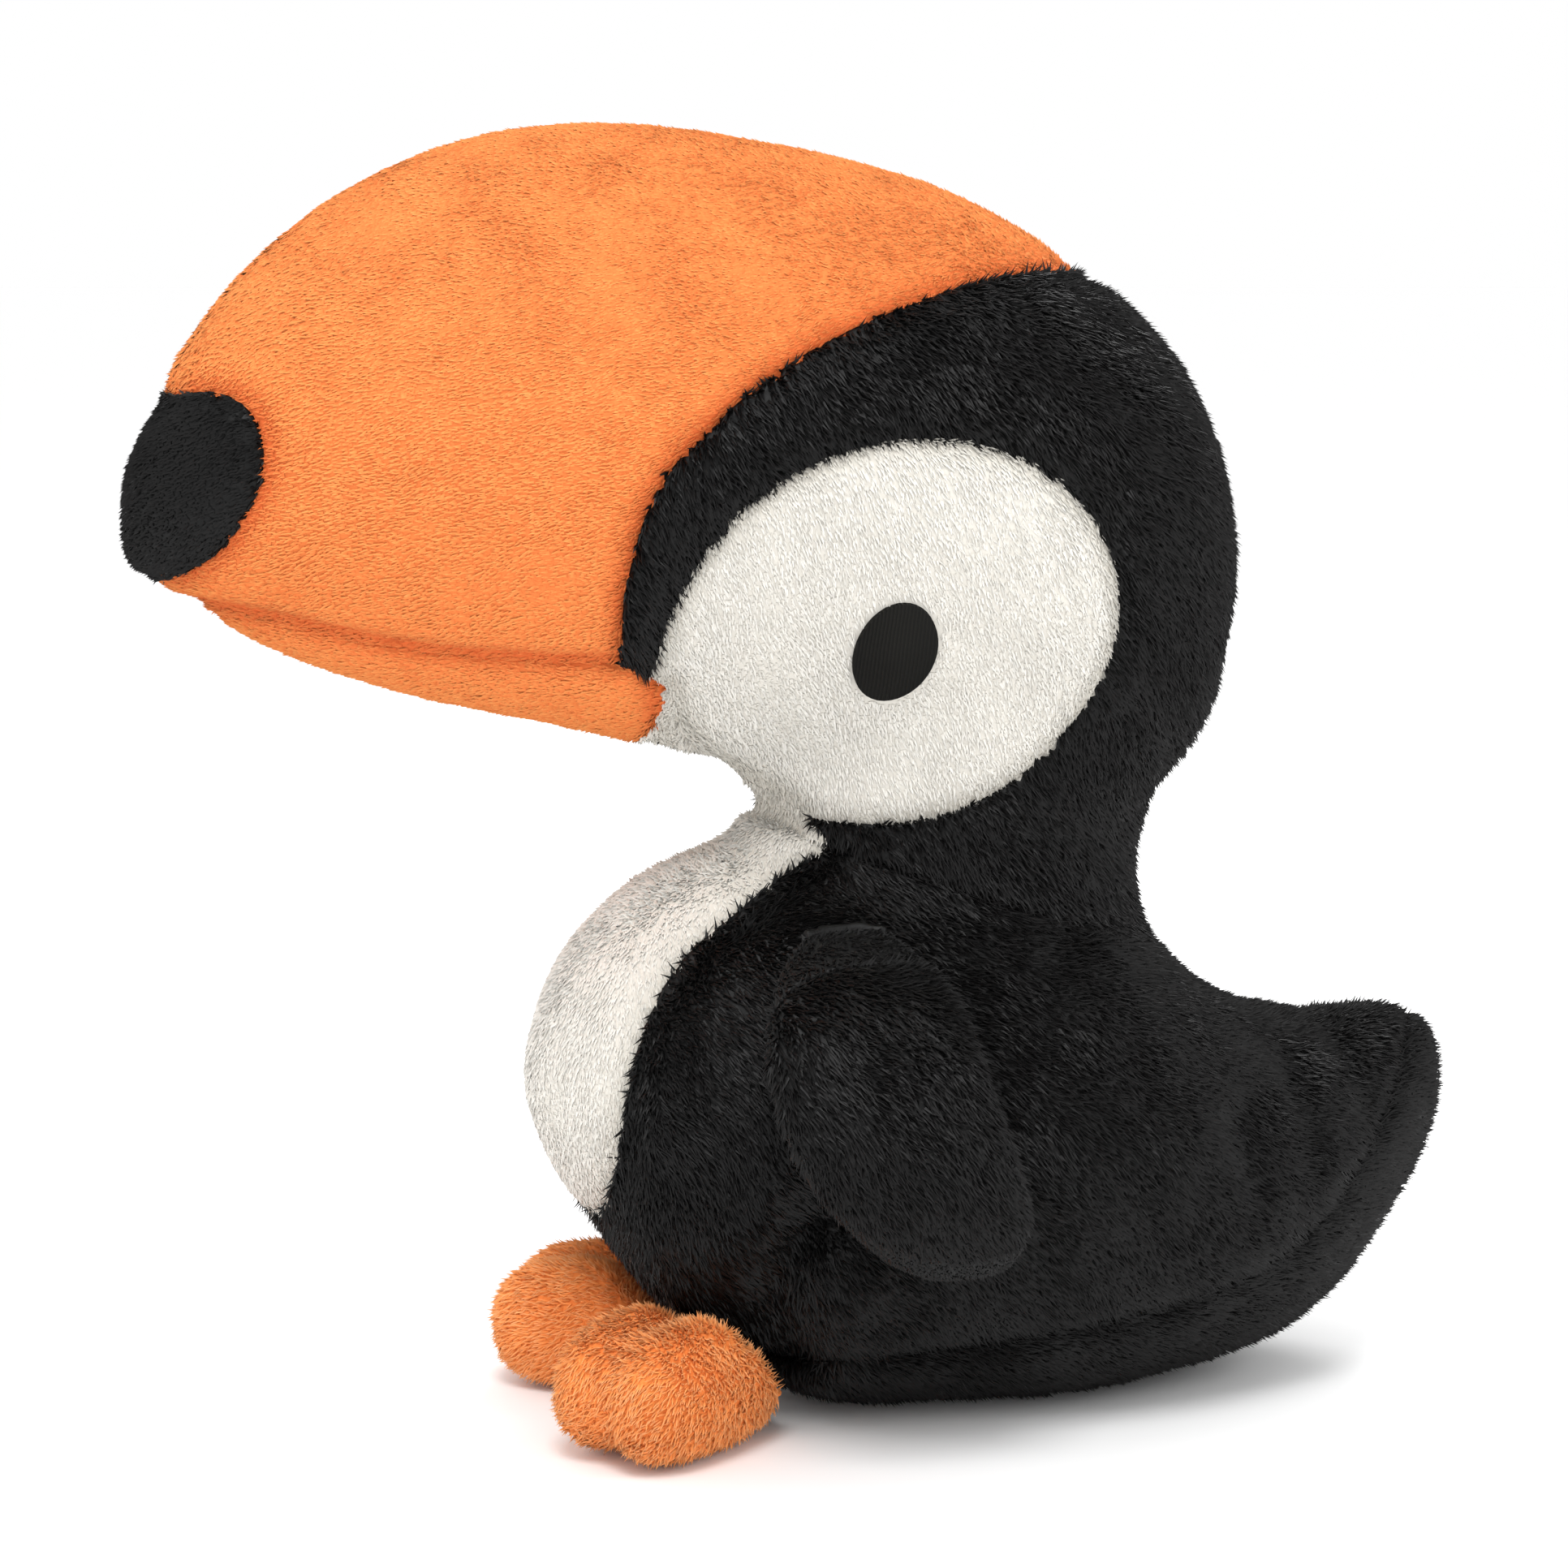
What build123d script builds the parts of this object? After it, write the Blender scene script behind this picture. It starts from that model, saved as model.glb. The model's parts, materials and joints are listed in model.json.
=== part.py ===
from build123d import *
import math
import os

# A sitting plush toucan, in millimetres. It faces -X with +Z up and is symmetric about Y = 0; its own
# left side is -Y. The origin is the middle of the flat patch that the toy sits on.

# ---- Driving dimensions ----
head_length = 187.5  # beak tip to back of head
head_height = 120.0  # underside of head to top of beak
head_width = 79.0
head_front = -139.0  # X of the beak tip
head_bottom = 94.5  # Z of the underside of the head
body_length = 167.0  # chest to tail tip
body_height = 98.5
body_width = 90.0
body_front = -75.0  # X of the chest
neck_length = 74.0  # front to back
neck_width = 60.0
neck_x = -2.5
neck_low = 61.5
neck_high = 119.5
wing_length = 56.0
wing_width = 38.0
wing_thickness = 12.5
wing_top = 86.5  # Z of the shoulder seam
wing_x = -30.0  # X of the shoulder seam
foot_length = 38.0
foot_width = 30.0
foot_height = 24.0
foot_toe_x = -71.5  # X of the toes
foot_y = 30.0  # distance of the toes from the middle
foot_splay = 32.0  # degrees that each foot points outwards
foot_seam_height = 6.0
toe_lobe_width = 0.6  # of the foot's width
toe_lobe_spread = 0.2  # of the foot's width, from the foot's middle line to a lobe's
toe_lobe_middle = 0.46  # of the foot's height
toe_lobe_reach = 0.54  # of the foot's height, above and below that
pivot_x = -12.0  # centre that the head nods and turns about, inside the body
pivot_z = 55.0
neck_ball_radius = 53.0
neck_tilt = 18.7  # degrees that the neck leans back from upright
neck_seam_height = 35.0  # from the pivot to the neck seam, along the neck
neck_plug_radius = 24.0
neck_plug_length = 8.0
fabric = 2.0  # pile fabric with its backing
embroidery = 0.6
pouch_cloth = 0.8
pouch_length = 66.0
pouch_width = 48.0
pouch_height = 26.0
pouch_floor = 5.0  # Z of the pouch's underside
pouch_x = 5.0

pouch_rounding = 0.33  # of the pouch's height
wing_ring_points = 16  # points that a wing section's outline passes through

# ---- Clearances ----
joint_gap = 0.5  # between bodies that turn against each other
wing_gap = 1.6  # between a wing and the side of the body
foot_gap = 1.0  # between a foot and the belly above it
plug_gap = 0.4  # round the neck stuffing

# ---- Outlines, as shares of the sizes above ----
# along the length: low edge, high edge, width
HEAD_OUTLINE = (
    (0.00, 0.40, 0.53, 0.15),
    (0.04, 0.36, 0.66, 0.41),
    (0.12, 0.29, 0.82, 0.64),
    (0.25, 0.215, 0.95, 0.81),
    (0.41, 0.155, 1.00, 0.92),
    (0.53, 0.10, 0.985, 0.97),
    (0.65, 0.04, 0.95, 1.00),
    (0.75, 0.00, 0.90, 0.99),
    (0.85, 0.01, 0.81, 0.92),
    (0.935, 0.07, 0.70, 0.73),
    (0.98, 0.19, 0.57, 0.46),
    (1.00, 0.32, 0.53, 0.20),
)
BODY_OUTLINE = (
    (0.00, 0.52, 0.66, 0.13),
    (0.03, 0.41, 0.77, 0.35),
    (0.07, 0.31, 0.86, 0.55),
    (0.125, 0.20, 0.93, 0.71),
    (0.20, 0.08, 0.98, 0.85),
    (0.31, -0.01, 1.00, 0.955),
    (0.46, -0.035, 0.97, 1.00),
    (0.61, -0.025, 0.87, 0.955),
    (0.72, 0.01, 0.70, 0.82),
    (0.815, 0.06, 0.64, 0.645),
    (0.90, 0.17, 0.635, 0.43),
    (0.965, 0.30, 0.635, 0.25),
    (1.00, 0.44, 0.575, 0.11),
)
# up the neck: length, width, shift to the back
NECK_OUTLINE = (
    (0.00, 1.18, 1.22, 0.00),
    (0.25, 1.03, 1.08, 0.00),
    (0.50, 0.96, 1.00, 0.00),
    (0.72, 1.00, 1.02, 0.02),
    (1.00, 1.12, 1.12, 0.04),
)
# down the wing: width, thickness, shift to the back
WING_OUTLINE = (
    (0.00, 0.42, 0.42, 0.00),
    (0.12, 0.78, 0.75, 0.00),
    (0.34, 0.98, 1.00, 0.01),
    (0.58, 1.00, 1.00, 0.10),
    (0.80, 0.86, 0.92, 0.25),
    (0.94, 0.56, 0.70, 0.36),
    (1.00, 0.26, 0.35, 0.40),
)
# heel to toe of one toe lobe: width, height
TOE_OUTLINE = (
    (0.00, 0.45, 0.55),
    (0.14, 0.78, 0.86),
    (0.45, 1.00, 1.00),
    (0.75, 1.00, 0.94),
    (0.93, 0.70, 0.66),
    (1.00, 0.35, 0.36),
)
# seams, as points (share of length, share of height) seen from the side
BEAK_SEAM = (
    (0.87, 0.825),
    (0.75, 0.787),
    (0.592, 0.719),
    (0.49, 0.63),
    (0.42, 0.52),
    (0.397, 0.39),
    (0.402, 0.28),
)
MOUTH_SEAM = ((-0.02, 0.375), (0.117, 0.343), (0.222, 0.305), (0.335, 0.286), (0.402, 0.28), (0.445, 0.25))
THROAT_SEAM = ((0.445, 0.25), (0.474, 0.175), (0.533, 0.11), (0.58, 0.06), (0.62, -0.05))
BIB_SEAM = (
    (0.335, 1.05),
    (0.265, 0.96),
    (0.135, 0.82),
    (0.082, 0.66),
    (0.068, 0.45),
    (0.08, 0.28),
    (0.11, 0.15),
)
BASE_SEAM = (
    (0.13, 0.04),
    (0.30, 0.14),
    (0.58, 0.20),
    (0.74, 0.27),
    (0.87, 0.42),
    (0.96, 0.60),
    (1.02, 0.64),
)
eye_patch_at = (0.628, 0.315)
eye_patch_length = 74.5
eye_patch_height = 62.0
eye_patch_turn = 12.0
pupil_at = (0.624, 0.2975)
pupil_width = 13.0
pupil_height = 15.5
pupil_turn = -12.0
beak_tip_at = (0.046, 0.515)
beak_tip_length = 32.0
beak_tip_width = 19.5
beak_tip_turn = 62.0

half_span = max(head_width, body_width)  # reaches past either side
SIDES = (("left", -1), ("right", 1))


def head_point(along, up):
    """A point of the head seen from the side, from its shares of length and height."""
    return (head_front + along * head_length, head_bottom + up * head_height)


def body_point(along, up):
    """A point of the body seen from the side, from its shares of length and height."""
    return (body_front + along * body_length, up * body_height)


def side_form(outline, point, width, inset):
    """A smooth solid lofted through upright ellipses along X, pulled in by inset all round."""
    with BuildPart() as form:
        for along, low, high, broad in outline:
            x, z_low = point(along, low)
            z_high = point(along, high)[1]
            shift = inset if along == 0 else -inset if along == 1 else 0
            half_width = width * broad / 2 - inset
            half_height = (z_high - z_low) / 2 - inset
            with BuildSketch(Plane.YZ.offset(x + shift)):
                with Locations((0, (z_low + z_high) / 2)):
                    Ellipse(half_width, half_height)
        loft()
    return form.part


def neck_form(inset):
    """The neck, lofted upwards from inside the body to inside the head."""
    with BuildPart() as form:
        for up, length, width, shift in NECK_OUTLINE:
            with BuildSketch(Plane.XY.offset(neck_low + up * (neck_high - neck_low))):
                with Locations((neck_x + shift * neck_length, 0)):
                    Ellipse(neck_length * length / 2 - inset, neck_width * width / 2 - inset)
        loft()
    return form.part


def body_side(x, z):
    """How far the side of the body stands from Y = 0 at a point seen from the side."""
    along = (x - body_front) / body_length
    for before, after in zip(BODY_OUTLINE, BODY_OUTLINE[1:]):
        if before[0] <= along <= after[0]:
            share = (along - before[0]) / (after[0] - before[0])
            low, high, broad = (a + share * (b - a) for a, b in zip(before[1:], after[1:]))
            middle = (low + high) / 2 * body_height
            reach = (high - low) / 2 * body_height
            return body_width / 2 * broad * math.sqrt(max(0, 1 - ((z - middle) / reach) ** 2))
    return 0


def seam_zone(points, *corners):
    """A solid across the whole width: the area between a smooth seam and some far corners."""
    with BuildPart() as zone:
        with BuildSketch(Plane.XZ):
            with BuildLine():
                seam = Spline(*points)
                Polyline(seam @ 1, *corners, seam @ 0)
            make_face()
        extrude(amount=half_span, both=True)
    return zone.part


def oval_zone(at, length, height, turn):
    """A solid across the whole width with an oval outline seen from the side."""
    with BuildPart() as zone:
        with BuildSketch(Plane.XZ):
            with Locations(at):
                Ellipse(length / 2, height / 2, rotation=turn)
        extrude(amount=half_span, both=True)
    return zone.part


def save(piece, name):
    """Label a finished piece and write its file."""
    piece.part.label = name
    export_step(piece.part, f"parts/{name}.step")


os.makedirs("parts", exist_ok=True)

# ---- Where the head leaves the body ----
neck_lean = math.radians(neck_tilt)
neck_plane = Plane(
    origin=(pivot_x, 0, pivot_z),
    x_dir=(math.cos(neck_lean), 0, -math.sin(neck_lean)),
    z_dir=(math.sin(neck_lean), 0, math.cos(neck_lean)),
)


def ball(radius):
    """The sphere that the head turns on, with a given radius."""
    with BuildPart() as solid:
        with Locations((pivot_x, 0, pivot_z)):
            Sphere(radius)
    return solid.part


body_ball = ball(neck_ball_radius)
neck_ball = ball(neck_ball_radius + joint_gap)
plug_ball = ball(neck_ball_radius + joint_gap + neck_plug_length)
head_ball = ball(neck_ball_radius + joint_gap + neck_plug_length + plug_gap)


def head_solid(inset, hollow):
    """Head, beak and upper neck as one form, above the neck seam and outside a ball."""
    with BuildPart() as solid:
        add(side_form(HEAD_OUTLINE, head_point, head_width, inset))
        add(neck_form(inset))
        split(bisect_by=neck_plane.offset(neck_seam_height), keep=Keep.TOP)
        add(hollow, mode=Mode.SUBTRACT)
    return solid.part


def body_solid(inset):
    """Body and lower neck as one form, ending in a dome below the head."""
    with BuildPart() as neck:
        add(neck_form(inset))
        add(body_ball, mode=Mode.INTERSECT)
    with BuildPart() as solid:
        add(side_form(BODY_OUTLINE, body_point, body_width, inset))
        add(neck.part)
        split(bisect_by=Plane.XY.offset(inset), keep=Keep.TOP)
    return solid.part


# ---- Head and beak ----
far_up = head_bottom + 2 * head_height
far_back = body_front + 2 * body_length
far_front = 2 * head_front
beak_seam = [head_point(*p) for p in BEAK_SEAM]
mouth_seam = [head_point(*p) for p in MOUTH_SEAM]
throat_seam = [head_point(*p) for p in THROAT_SEAM]
beak_corners = ((beak_seam[-1][0], 0), (far_front, 0), (far_front, far_up), (beak_seam[0][0], far_up))
beak_zone = seam_zone(beak_seam, *beak_corners)
jaw_zone = seam_zone(mouth_seam, (mouth_seam[-1][0], 0), (far_front, 0), (far_front, mouth_seam[0][1]))
throat_zone = seam_zone(throat_seam, (throat_seam[-1][0], 0), (far_front, 0), (far_front, throat_seam[0][1]))
eye_zone = oval_zone(head_point(*eye_patch_at), eye_patch_length, eye_patch_height, eye_patch_turn)
pupil_zone = oval_zone(head_point(*pupil_at), pupil_width, pupil_height, pupil_turn)
tip_zone = oval_zone(head_point(*beak_tip_at), beak_tip_length, beak_tip_width, beak_tip_turn)

head_outer = head_solid(0, neck_ball)
head_inner = head_solid(fabric, neck_ball)
head_thread = side_form(HEAD_OUTLINE, head_point, head_width, -embroidery)

with BuildPart() as head_skin:
    add(head_outer)
    add(head_inner, mode=Mode.SUBTRACT)

with BuildPart() as jaw:
    add(head_skin.part)
    add(jaw_zone, mode=Mode.INTERSECT)
    add(tip_zone, mode=Mode.SUBTRACT)
save(jaw, "beak_lower")

with BuildPart() as throat:
    add(head_skin.part)
    add(throat_zone, mode=Mode.INTERSECT)
    add(jaw_zone, mode=Mode.SUBTRACT)
    add(tip_zone, mode=Mode.SUBTRACT)
    add(beak_zone, mode=Mode.SUBTRACT)
save(throat, "throat")

for side, sign in SIDES:
    keep = Keep.TOP if sign < 0 else Keep.BOTTOM
    with BuildPart() as half_skin:
        add(head_skin.part)
        split(bisect_by=Plane.XZ, keep=keep)

    with BuildPart() as beak_tip:
        add(half_skin.part)
        add(tip_zone, mode=Mode.INTERSECT)
    save(beak_tip, f"beak_tip_{side}")

    with BuildPart() as beak_upper:
        add(half_skin.part)
        add(beak_zone, mode=Mode.INTERSECT)
        add(jaw_zone, mode=Mode.SUBTRACT)
        add(tip_zone, mode=Mode.SUBTRACT)
    save(beak_upper, f"beak_upper_{side}")

    with BuildPart() as eye_patch:
        add(half_skin.part)
        add(eye_zone, mode=Mode.INTERSECT)
        add(beak_zone, mode=Mode.SUBTRACT)
        add(jaw_zone, mode=Mode.SUBTRACT)
        add(throat_zone, mode=Mode.SUBTRACT)
    save(eye_patch, f"eye_patch_{side}")

    with BuildPart() as pupil:
        add(head_thread)
        add(side_form(HEAD_OUTLINE, head_point, head_width, 0), mode=Mode.SUBTRACT)
        add(pupil_zone, mode=Mode.INTERSECT)
        split(bisect_by=Plane.XZ, keep=keep)
    save(pupil, f"pupil_{side}")

    with BuildPart() as head_panel:
        add(half_skin.part)
        add(beak_zone, mode=Mode.SUBTRACT)
        add(jaw_zone, mode=Mode.SUBTRACT)
        add(throat_zone, mode=Mode.SUBTRACT)
        add(eye_zone, mode=Mode.SUBTRACT)
        add(tip_zone, mode=Mode.SUBTRACT)
    save(head_panel, f"head_{side}")

stuffing_split = Plane.YZ.offset(beak_seam[-1][0])
with BuildPart() as beak_stuffing:
    add(head_inner)
    split(bisect_by=stuffing_split, keep=Keep.BOTTOM)
save(beak_stuffing, "beak_stuffing")

with BuildPart() as plug_room:
    with BuildSketch(neck_plane):
        Circle(neck_plug_radius + plug_gap)
    extrude(amount=2 * neck_ball_radius)
    add(head_ball, mode=Mode.INTERSECT)

with BuildPart() as head_stuffing:
    add(head_inner)
    split(bisect_by=stuffing_split, keep=Keep.TOP)
    add(plug_room.part, mode=Mode.SUBTRACT)
save(head_stuffing, "head_stuffing")

with BuildPart() as neck_stuffing:
    with BuildSketch(neck_plane):
        Circle(neck_plug_radius)
    extrude(amount=2 * neck_ball_radius)
    add(plug_ball, mode=Mode.INTERSECT)
    add(neck_ball, mode=Mode.SUBTRACT)
save(neck_stuffing, "neck_stuffing")

# ---- Body ----
bib_seam = [body_point(*p) for p in BIB_SEAM]
base_seam = [body_point(*p) for p in BASE_SEAM]
bib_zone = seam_zone(bib_seam, (far_front, bib_seam[-1][1]), (far_front, far_up), (bib_seam[0][0], far_up))
base_corners = ((far_back, base_seam[-1][1]), (far_back, -body_height), (base_seam[0][0], -body_height))
base_zone = seam_zone(base_seam, *base_corners)

body_outer = body_solid(0)
body_inner = body_solid(fabric)

with BuildPart() as body_skin:
    add(body_outer)
    add(body_inner, mode=Mode.SUBTRACT)

with BuildPart() as bib:
    add(body_skin.part)
    add(bib_zone, mode=Mode.INTERSECT)
save(bib, "bib")

with BuildPart() as base_gusset:
    add(body_skin.part)
    add(base_zone, mode=Mode.INTERSECT)
    add(bib_zone, mode=Mode.SUBTRACT)
save(base_gusset, "base_gusset")

for side, sign in SIDES:
    with BuildPart() as body_panel:
        add(body_skin.part)
        split(bisect_by=Plane.XZ, keep=Keep.TOP if sign < 0 else Keep.BOTTOM)
        add(bib_zone, mode=Mode.SUBTRACT)
        add(base_zone, mode=Mode.SUBTRACT)
    save(body_panel, f"body_{side}")


def pouch_form(inset):
    """The bean pouch: an oval cushion with rounded rims."""
    with BuildPart() as form:
        with BuildSketch(Plane.XY.offset(pouch_floor + inset)):
            with Locations((pouch_x, 0)):
                Ellipse(pouch_length / 2 - inset, pouch_width / 2 - inset)
        extrude(amount=pouch_height - 2 * inset)
        fillet(form.edges(), radius=pouch_height * pouch_rounding - inset)
    return form.part


pouch_outer = pouch_form(0)
pouch_inner = pouch_form(pouch_cloth)

with BuildPart() as bean_pellets:
    add(pouch_inner)
save(bean_pellets, "bean_pellets")

with BuildPart() as bean_pouch:
    add(pouch_outer)
    add(pouch_inner, mode=Mode.SUBTRACT)
save(bean_pouch, "bean_pouch")

with BuildPart() as body_stuffing:
    add(body_inner)
    add(pouch_outer, mode=Mode.SUBTRACT)
save(body_stuffing, "body_stuffing")


# ---- Wings ----
def wing_form(sign, inset):
    """One wing pillow, lofted down the side of the body and clear of it."""
    with BuildPart() as form:
        for down, width, thick, shift in WING_OUTLINE:
            end = inset if down == 0 else -inset if down == 1 else 0
            z = wing_top - down * wing_length
            x = wing_x + shift * wing_width
            y = body_side(x, z) + wing_gap + wing_thickness * thick / 2
            half_width = wing_width * width / 2 - inset
            half_thickness = wing_thickness * thick / 2 - inset
            turns = [math.tau * step / wing_ring_points for step in range(wing_ring_points)]
            ring = [(x + half_width * math.sin(t), sign * (y - half_thickness * math.cos(t))) for t in turns]
            with BuildSketch(Plane.XY.offset(z - end)):
                with BuildLine():
                    Spline(*ring, periodic=True)
                make_face()
        loft()
    return form.part


for side, sign in SIDES:
    outer = wing_form(sign, 0)
    inner = wing_form(sign, fabric)
    root_thickness = wing_thickness * WING_OUTLINE[0][2]
    root_y = sign * (body_side(wing_x, wing_top) + wing_gap + root_thickness / 2)
    edge_z = wing_top - wing_length / 2
    edge_y = sign * (body_side(wing_x, edge_z) + wing_gap + wing_thickness / 2)
    lean = Vector(0, root_y - edge_y, wing_top - edge_z).normalized()
    outwards = lean.cross(Vector(1, 0, 0)) * sign
    seam_plane = Plane(origin=(wing_x, edge_y, edge_z), x_dir=(1, 0, 0), z_dir=outwards)
    with BuildPart() as wing_skin:
        add(outer)
        add(inner, mode=Mode.SUBTRACT)
    with BuildPart() as wing_outer:
        add(wing_skin.part)
        split(bisect_by=seam_plane, keep=Keep.TOP)
    save(wing_outer, f"wing_outer_{side}")
    with BuildPart() as wing_inner:
        add(wing_skin.part)
        split(bisect_by=seam_plane, keep=Keep.BOTTOM)
    save(wing_inner, f"wing_inner_{side}")
    with BuildPart() as wing_stuffing:
        add(inner)
    save(wing_stuffing, f"wing_stuffing_{side}")


# ---- Feet ----
belly = side_form(BODY_OUTLINE, body_point, body_width, -foot_gap)


def toe_lobe(sign, lobe, inset):
    """One of a foot's two toe lobes, lofted from heel to toe."""
    splay = math.radians(foot_splay)
    ahead = Vector(-math.cos(splay), sign * math.sin(splay), 0)
    across = Vector(0, 0, 1).cross(ahead)
    toe = Vector(foot_toe_x, sign * foot_y, 0) + across * (lobe * foot_width * toe_lobe_spread)
    with BuildPart() as form:
        for along, width, height in TOE_OUTLINE:
            end = inset if along == 0 else -inset if along == 1 else 0
            centre = toe + ahead * ((along - 1) * foot_length + end)
            half_width = foot_width * toe_lobe_width / 2 * width - inset
            half_height = foot_height * toe_lobe_reach * height - inset
            with BuildSketch(Plane(origin=centre, x_dir=across, z_dir=ahead)):
                with Locations((0, foot_height * toe_lobe_middle)):
                    Ellipse(half_width, half_height)
        loft()
    return form.part


def foot_form(sign, inset):
    """One foot: two toe lobes side by side, cut flat underneath and clear of the belly."""
    with BuildPart() as form:
        for lobe in (-1, 1):
            add(toe_lobe(sign, lobe, inset))
        split(bisect_by=Plane.XY.offset(inset), keep=Keep.TOP)
        add(belly, mode=Mode.SUBTRACT)
    return form.part


for side, sign in SIDES:
    outer = foot_form(sign, 0)
    inner = foot_form(sign, fabric)
    foot_seam = Plane.XY.offset(foot_seam_height)
    with BuildPart() as foot_skin:
        add(outer)
        add(inner, mode=Mode.SUBTRACT)
    with BuildPart() as foot_upper:
        add(foot_skin.part)
        split(bisect_by=foot_seam, keep=Keep.TOP)
    save(foot_upper, f"foot_upper_{side}")
    with BuildPart() as foot_sole:
        add(foot_skin.part)
        split(bisect_by=foot_seam, keep=Keep.BOTTOM)
    save(foot_sole, f"foot_sole_{side}")
    with BuildPart() as foot_stuffing:
        add(inner)
    save(foot_stuffing, f"foot_stuffing_{side}")
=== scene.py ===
"""A sitting plush toucan: pile-fabric panels sewn into stuffed forms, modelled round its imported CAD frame."""

import functools
import json
import math

import bmesh
import bpy
import numpy as np
from bpy.props import FloatProperty, IntProperty, PointerProperty, StringProperty
from bpy.types import Operator, Panel, PropertyGroup
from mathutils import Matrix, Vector
from mathutils.bvhtree import BVHTree


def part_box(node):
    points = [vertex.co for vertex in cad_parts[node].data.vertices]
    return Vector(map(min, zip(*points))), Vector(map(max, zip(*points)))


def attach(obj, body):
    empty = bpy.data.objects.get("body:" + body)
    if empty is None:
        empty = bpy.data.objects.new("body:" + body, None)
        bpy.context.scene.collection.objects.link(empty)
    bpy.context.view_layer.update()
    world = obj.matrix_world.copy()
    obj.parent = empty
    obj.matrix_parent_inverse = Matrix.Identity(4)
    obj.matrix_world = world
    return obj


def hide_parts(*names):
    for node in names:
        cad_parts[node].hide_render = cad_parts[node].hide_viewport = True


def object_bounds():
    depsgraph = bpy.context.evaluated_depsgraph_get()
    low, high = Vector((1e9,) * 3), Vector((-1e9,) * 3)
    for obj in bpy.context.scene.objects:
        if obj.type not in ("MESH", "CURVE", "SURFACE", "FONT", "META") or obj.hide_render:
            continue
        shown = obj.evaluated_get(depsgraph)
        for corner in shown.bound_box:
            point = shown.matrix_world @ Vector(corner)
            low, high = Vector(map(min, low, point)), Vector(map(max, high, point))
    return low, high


bl_info = {
    "name": "Plush Toucan",
    "version": (1, 0, 0),
    "blender": (4, 5, 0),
    "location": "View3D > Sidebar > Toucan",
    "description": "Models a plush toucan in pile fabric, with its stuffing, round its packed frame",
    "category": "Object",
}

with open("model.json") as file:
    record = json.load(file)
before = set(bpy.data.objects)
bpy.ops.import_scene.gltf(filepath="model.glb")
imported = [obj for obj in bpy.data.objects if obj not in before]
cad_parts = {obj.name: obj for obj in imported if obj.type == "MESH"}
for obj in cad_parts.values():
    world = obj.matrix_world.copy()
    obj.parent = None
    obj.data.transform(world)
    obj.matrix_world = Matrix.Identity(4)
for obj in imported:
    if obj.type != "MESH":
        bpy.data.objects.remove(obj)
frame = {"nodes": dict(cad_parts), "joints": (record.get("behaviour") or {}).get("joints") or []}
CAD_BOX = [list(corner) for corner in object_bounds()]
SIDES = (("left", -1), ("right", 1))
MM = 0.001

# ---- Places, from the frame ----


def span(*nodes):
    """Lowest and highest corner of several CAD nodes together."""
    boxes = [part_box(node) for node in nodes]
    low = [min(box[0][axis] for box in boxes) for axis in range(3)]
    high = [max(box[1][axis] for box in boxes) for axis in range(3)]
    return Vector(low), Vector(high)


HEAD_NODES = ["beak_lower", "throat", "beak_stuffing", "head_stuffing", "neck_stuffing"]
SIDE_PANELS = ("beak_upper", "beak_tip", "head", "eye_patch")
HEAD_NODES += [f"{panel}_{side}" for panel in SIDE_PANELS for side, _ in SIDES]
BODY_NODES = ["bib", "base_gusset", "body_left", "body_right", "body_stuffing", "bean_pouch", "bean_pellets"]
HEAD_LOW, HEAD_HIGH = span(*HEAD_NODES)
BODY_LOW, BODY_HIGH = span("bib", "base_gusset", "body_left", "body_right")
HEAD_HEIGHT = 0.120  # beak top to chin, as in the frame
HEAD_BOTTOM = HEAD_HIGH.z - HEAD_HEIGHT
BODY_HEIGHT = 0.0985
NOD = next(joint for joint in frame["joints"] if joint["name"] == "neck_nod")
TURN = next(joint for joint in frame["joints"] if joint["name"] == "neck_turn")


def head_point(along, up):
    """A point of the head seen from the side, from its shares of length and height."""
    return (HEAD_LOW.x + along * (HEAD_HIGH.x - HEAD_LOW.x), HEAD_BOTTOM + up * HEAD_HEIGHT)


def body_point(along, up):
    """A point of the body seen from the side, from its shares of length and height."""
    return (BODY_LOW.x + along * (BODY_HIGH.x - BODY_LOW.x), up * BODY_HEIGHT)


BEAK_SEAM = (
    (0.93, 0.775), (0.75, 0.785), (0.592, 0.719), (0.49, 0.63), (0.42, 0.52), (0.397, 0.39), (0.402, 0.28)
)
MOUTH_SEAM = ((-0.02, 0.375), (0.117, 0.343), (0.222, 0.305), (0.335, 0.286), (0.402, 0.28), (0.445, 0.25))
THROAT_SEAM = ((0.445, 0.25), (0.474, 0.175), (0.533, 0.11), (0.58, 0.06), (0.62, -0.05))
BIB_SEAM = (
    (0.335, 1.05), (0.265, 0.96), (0.135, 0.82), (0.082, 0.66), (0.068, 0.45), (0.08, 0.28), (0.11, 0.15)
)
BASE_SEAM = ((0.13, 0.04), (0.30, 0.14), (0.58, 0.20), (0.74, 0.27), (0.87, 0.42), (0.96, 0.60), (1.02, 0.64))
THROAT_TUCK = ((0.50, 0.10), (0.535, 0.075), (0.565, 0.05))
LEG_DART = ((-0.035, 0.012), (-0.041, 0.022), (-0.040, 0.034), (-0.034, 0.044))  # X and Z in metres
TAIL_TUCKS = (
    ((0.053, 0.056), (0.055, 0.044)), ((0.067, 0.057), (0.070, 0.048)), ((0.038, 0.050), (0.041, 0.040))
)
EYE_OVAL = ((0.628, 0.315), 0.0745, 0.062, 12)
PUPIL_OVAL = ((0.624, 0.2975), 0.013, 0.0155, -12)
PUPIL_RISE = 0.0011  # of its edge over the patch, and of its middle over its edge
PUPIL_RINGS = 4
BARE_AROUND_PUPIL = 1.12  # the embroidered area kept free of pile, against the pupil's size
TIP_OVAL = ((0.046, 0.515), 0.032, 0.0195, 62)


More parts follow.
